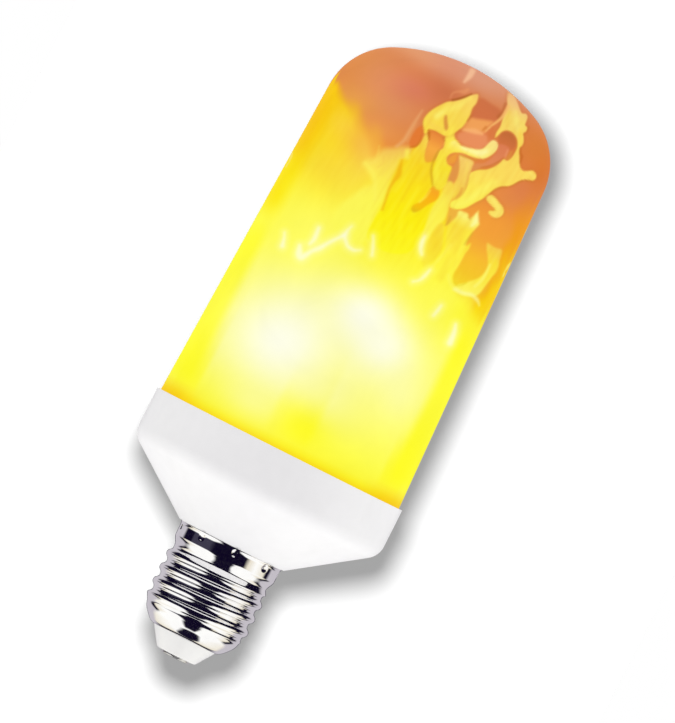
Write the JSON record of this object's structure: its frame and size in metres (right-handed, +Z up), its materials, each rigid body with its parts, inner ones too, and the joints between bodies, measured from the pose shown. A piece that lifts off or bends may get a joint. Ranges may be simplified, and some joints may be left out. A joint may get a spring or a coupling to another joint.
{
  "type": "flame effect led bulb",
  "caption": "Screw-in LED lamp with a tall domed diffuser over a six-sided core of LED panels that imitate a flickering flame, on a flared driver housing",
  "frame": {"origin": "middle of the centre contact's outer face, at the very tip of the screw cap", "axes": "+Z runs up the bulb's axis from the cap to the dome; +X is the outward normal of LED panel 1; -Y is the side that the picture shows"},
  "size_m": [0.0652, 0.0652, 0.1575],
  "materials": {
    "contact_metal": "satin",
    "insulator": "satin",
    "screw_shell": "polished",
    "housing": "satin",
    "diffuser": "satin",
    "driver_board": "satin",
    "core_plastic": "satin",
    "core_screw": "satin",
    "led_panel": "satin",
    "led_package": "satin",
    "capacitor_sleeve": "satin",
    "choke_sleeve": "satin",
    "chip_plastic": "matte",
    "resistor_body": "matte",
    "live_wire": "satin",
    "neutral_wire": "satin"
  },
  "bodies": {
    "root": {"centre_contact": "contact_metal", "tip_insulator": "insulator", "screw_shell": "screw_shell", "base_housing": "housing", "diffuser_cover": "diffuser", "driver_board": "driver_board", "core_former": "core_plastic", "core_top_cap": "core_plastic", "core_screw": "core_screw", "led_panel_1": "led_panel", "led_panel_2": "led_panel", "led_panel_3": "led_panel", "led_panel_4": "led_panel", "led_panel_5": "led_panel", "led_panel_6": "led_panel", "leds_1": "led_package", "leds_2": "led_package", "leds_3": "led_package", "leds_4": "led_package", "leds_5": "led_package", "leds_6": "led_package", "input_capacitor": "capacitor_sleeve", "output_capacitor": "capacitor_sleeve", "choke": "choke_sleeve", "bridge_rectifier": "chip_plastic", "fusible_resistor": "resistor_body", "driver_chip": "chip_plastic", "flame_controller": "chip_plastic", "row_switches": "chip_plastic", "live_wire": "live_wire", "neutral_wire": "neutral_wire"}
  },
  "joints": []
}
